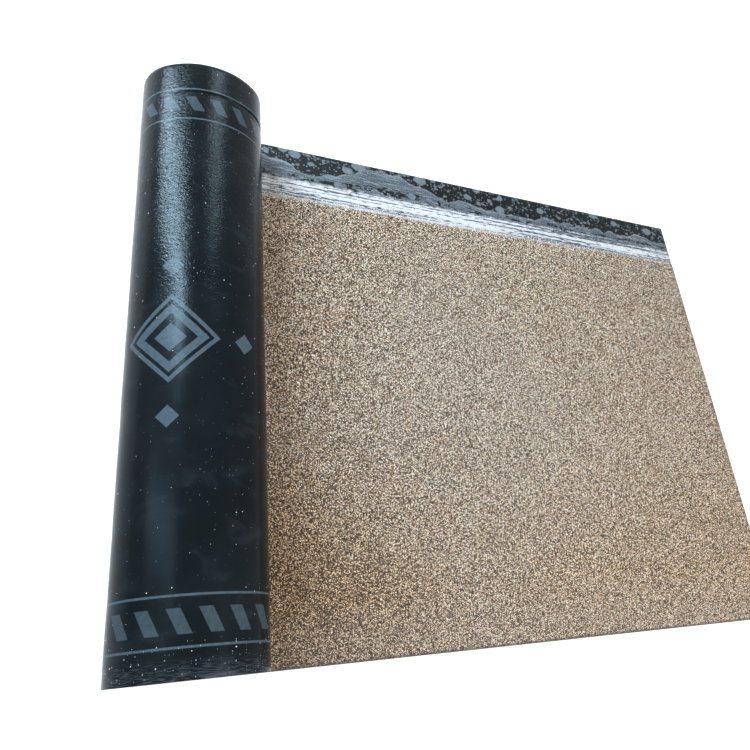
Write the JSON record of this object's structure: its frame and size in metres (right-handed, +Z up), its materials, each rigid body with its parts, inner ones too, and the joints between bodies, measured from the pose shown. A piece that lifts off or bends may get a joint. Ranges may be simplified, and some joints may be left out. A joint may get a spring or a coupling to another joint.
{
  "type": "roll of roofing felt",
  "caption": "Part-used roll of mineral-surfaced roofing felt lying on its side, sagged to an oval, with its loose end run out flat on the floor.",
  "frame": {"origin": "on the floor under the middle of the roll, halfway across the felt", "axes": "+X runs along the loose end, away from the roll; +Y runs across the felt along the roll's axis, towards the plain lap edge; +Z is up"},
  "size_m": [1.33, 1, 0.17],
  "materials": {
    "felt": "bitumen felt: glossy torch film on the outside of the roll, mineral granules on the face that looks up on the run-out"
  },
  "bodies": {
    "root": {"roofing_felt": "felt"}
  },
  "joints": []
}
